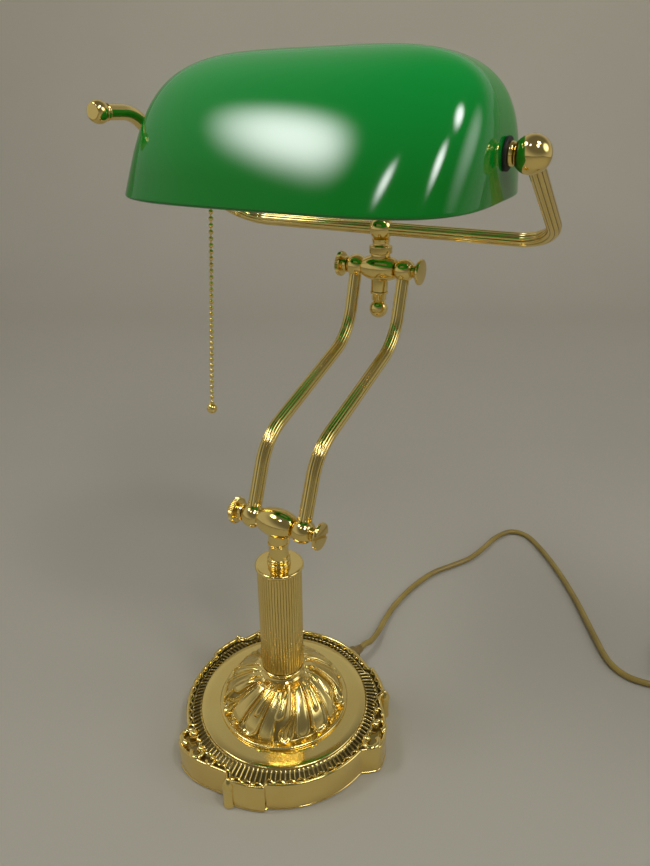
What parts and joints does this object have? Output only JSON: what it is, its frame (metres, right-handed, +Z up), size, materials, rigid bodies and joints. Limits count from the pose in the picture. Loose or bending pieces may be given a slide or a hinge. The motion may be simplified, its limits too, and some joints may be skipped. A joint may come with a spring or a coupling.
{
  "type": "bankers desk lamp",
  "caption": "Polished brass bankers lamp with ornate round base, reeded column, swinging arm pair, swivelling yoke, tilting green glass shade and a pull chain.",
  "frame": {"origin": "middle of the base, on the surface it stands on", "axes": "+Z up, +Y to the back (away from the side the shade reaches over), +X to the right along the pivots"},
  "size_m": [0.5014, 0.449, 0.4851],
  "materials": {
    "polished_brass": "polished",
    "iron": "as cast",
    "felt": "felt",
    "steel": "zinc plated",
    "black_rubber": "matt",
    "black_moulding": "moulded",
    "plug_plastic": "moulded",
    "amber_plastic": "translucent",
    "gold_cord": "satin sheath",
    "green_glass": "cased, glossy",
    "bulb_glass": "opal",
    "bulb_cap": "plain"
  },
  "bodies": {
    "stand": {"base_casting": "polished_brass", "base_dome": "polished_brass", "base_weight": "iron", "base_felt": "felt", "tie_rod": "steel", "tie_rod_nut": "steel", "tie_rod_washer": "steel", "column_foot_ring": "polished_brass", "column": "polished_brass", "column_cap": "polished_brass", "neck": "polished_brass", "lower_pivot_body": "polished_brass", "lower_screw": "polished_brass", "cord_gland": "amber_plastic", "mains_cord": "gold_cord", "cord_coil": "gold_cord", "plug_lead": "gold_cord", "cord_tie": "black_rubber", "plug_body": "plug_plastic", "plug_pins": "steel"},
    "lower_thumb": {"lower_thumb_screw": "polished_brass"},
    "arms": {"arm_left": "polished_brass", "arm_right": "polished_brass", "lower_ball_left": "polished_brass", "lower_ball_right": "polished_brass", "upper_ball_left": "polished_brass", "upper_ball_right": "polished_brass"},
    "head": {"upper_pivot_body": "polished_brass", "upper_screw": "polished_brass"},
    "upper_thumb": {"upper_thumb_screw": "polished_brass"},
    "yoke": {"swivel_stem": "steel", "swivel_collar": "polished_brass", "finial": "polished_brass", "yoke_ball": "polished_brass", "yoke_left": "polished_brass", "yoke_right": "polished_brass", "pivot_ball_left": "polished_brass", "pivot_ball_right": "polished_brass", "head_handle": "polished_brass", "handle_knob": "polished_brass"},
    "shade": {"glass_shade": "green_glass", "spindle_left": "polished_brass", "spindle_right": "polished_brass", "rubber_washers": "black_rubber", "spacer_rings": "polished_brass", "lock_nuts": "polished_brass", "lampholder_cap": "polished_brass", "lampholder_socket": "black_moulding", "switch_outlet": "polished_brass", "bulb": "bulb_glass", "bulb_base": "bulb_cap"},
    "pull": {"pull_link": "polished_brass"},
    "chain": {"pull_chain": "polished_brass", "pull_ball": "polished_brass"}
  },
  "joints": [
    {"name": "arm_swing", "type": "hinge", "parent": "stand", "child": "arms", "pos_m": [0, 0, 0.194], "axis": [1, 0, 0], "range_deg": [-12, 48]},
    {"name": "lower_thumb_turn", "type": "hinge", "parent": "stand", "child": "lower_thumb", "pos_m": [-0.03, 0, 0.194], "axis": [1, 0, 0], "range_deg": [-180, 180]},
    {"name": "head_tilt", "type": "hinge", "parent": "arms", "child": "head", "pos_m": [0, 0.15735, 0.34141], "axis": [1, 0, 0], "range_deg": [-35, 35]},
    {"name": "upper_thumb_turn", "type": "hinge", "parent": "head", "child": "upper_thumb", "pos_m": [-0.03, 0.15735, 0.34141], "axis": [1, 0, 0], "range_deg": [-180, 180]},
    {"name": "yoke_swivel", "type": "hinge", "parent": "head", "child": "yoke", "pos_m": [0, 0.15735, 0.34141], "axis": [0, 0, 1], "range_deg": [-150, 150]},
    {"name": "shade_tilt", "type": "hinge", "parent": "yoke", "child": "shade", "pos_m": [0, 0.06195, 0.43103], "axis": [1, 0, 0], "range_deg": [-35, 35]},
    {"name": "chain_pull", "type": "slide", "parent": "shade", "child": "pull", "axis": [0, 0.0175, -0.9998], "range_m": [0, 0.006], "stiffness_N_per_m": 400},
    {"name": "chain_swing", "type": "hinge", "parent": "pull", "child": "chain", "pos_m": [-0.061, 0.0311, 0.4208], "axis": [1, 0, 0], "range_deg": [-30, 30]}
  ]
}
